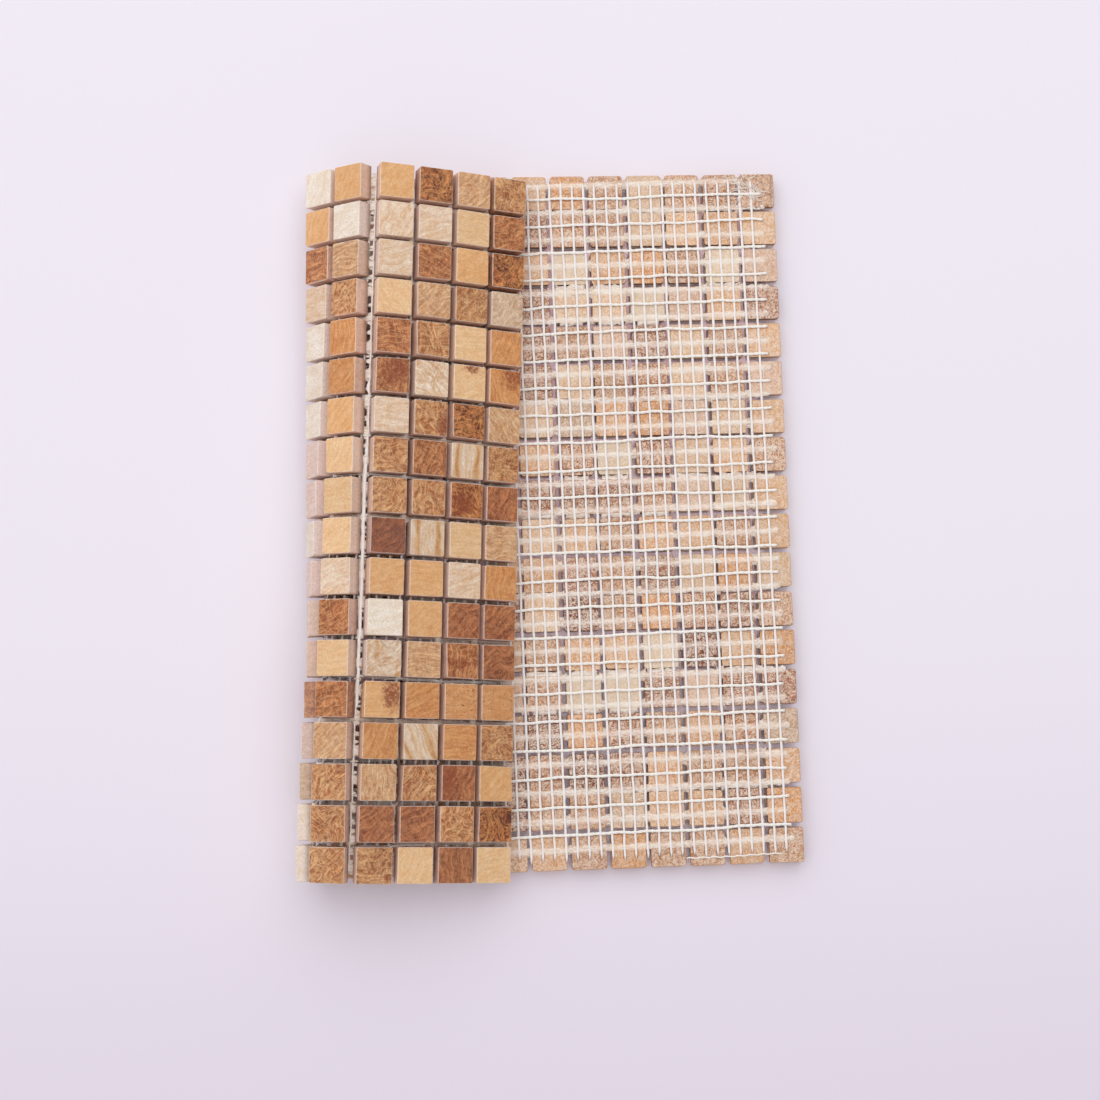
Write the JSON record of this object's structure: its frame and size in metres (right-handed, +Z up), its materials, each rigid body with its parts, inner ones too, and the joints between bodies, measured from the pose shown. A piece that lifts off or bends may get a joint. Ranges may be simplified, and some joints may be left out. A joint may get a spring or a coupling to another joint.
{
  "type": "mosaic tile sheet",
  "caption": "Mesh-backed sheet of small square polished stone mosaic tiles, lying face down with its end columns folded over to show their faces.",
  "frame": {"origin": "bottom centre of the box round the folded sheet as it lies on the floor", "axes": "+X along the rows of tiles, from the fold towards the free edge of the lower layer; +Y along the columns of tiles, towards the end where the fold stands most open; +Z up"},
  "size_m": [0.2166, 0.3082, 0.0407],
  "materials": {
    "stone": "polished face, sawn sides and back",
    "warp_yarn": "coated glass fibre",
    "flat_roving": "glass fibre soaked in glue",
    "twisted_yarn": "coated glass fibre"
  },
  "bodies": {
    "root": {"tile_row_01": "stone", "tile_row_02": "stone", "tile_row_03": "stone", "tile_row_04": "stone", "tile_row_05": "stone", "tile_row_06": "stone", "tile_row_07": "stone", "tile_row_08": "stone", "tile_row_09": "stone", "tile_row_10": "stone", "tile_row_11": "stone", "tile_row_12": "stone", "tile_row_13": "stone", "tile_row_14": "stone", "tile_row_15": "stone", "tile_row_16": "stone", "tile_row_17": "stone", "tile_row_18": "stone", "mesh_warp": "warp_yarn", "mesh_roving": "flat_roving", "mesh_twisted": "twisted_yarn"}
  },
  "joints": []
}
